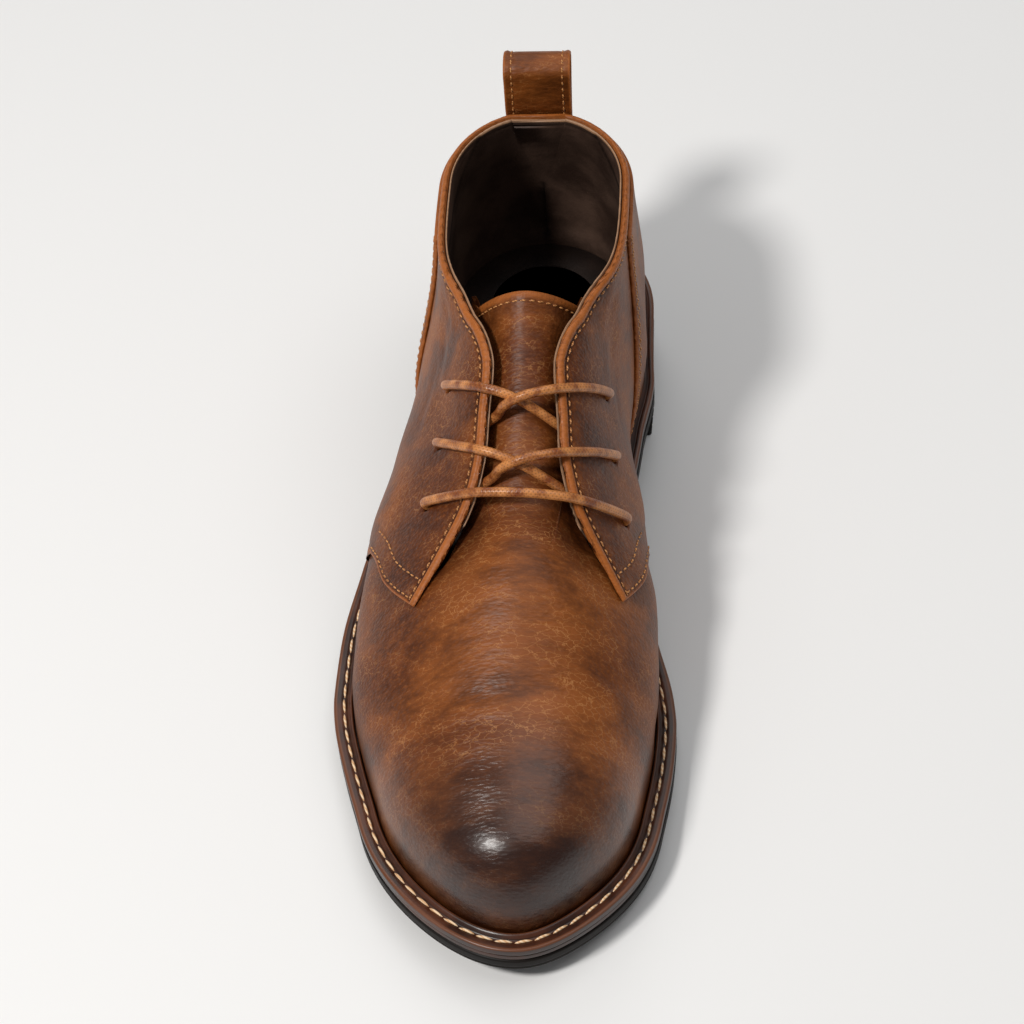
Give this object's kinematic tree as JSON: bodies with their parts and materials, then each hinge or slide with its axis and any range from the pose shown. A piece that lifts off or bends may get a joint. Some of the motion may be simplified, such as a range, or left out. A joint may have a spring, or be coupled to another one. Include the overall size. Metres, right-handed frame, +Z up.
{
  "type": "chukka boot",
  "caption": "Men's ankle-high lace-up chukka boot in brown leather with a stitched welt, a low heel, a crossed lace and a pull loop; the right boot of a pair.",
  "frame": {"origin": "centre of the boot's footprint box, on the floor it stands on", "axes": "+Z up; +Y towards the heel, the toe points to -Y; +X towards the inner side of the foot"},
  "size_m": [0.1112, 0.3, 0.1164],
  "materials": {
    "upper_leather": "waxed pull-up leather with a soft sheen",
    "edge_leather": "burnished edge",
    "lining_leather": "matt lining",
    "sole_rubber": "satin",
    "lace_cord": "waxed round cord"
  },
  "bodies": {
    "root": {"outsole": "sole_rubber", "heel": "sole_rubber", "midsole": "edge_leather", "welt": "edge_leather", "insole": "lining_leather", "upper": "upper_leather", "counter": "upper_leather", "tongue": "upper_leather", "pull_loop": "upper_leather", "lace": "lace_cord"}
  },
  "joints": []
}
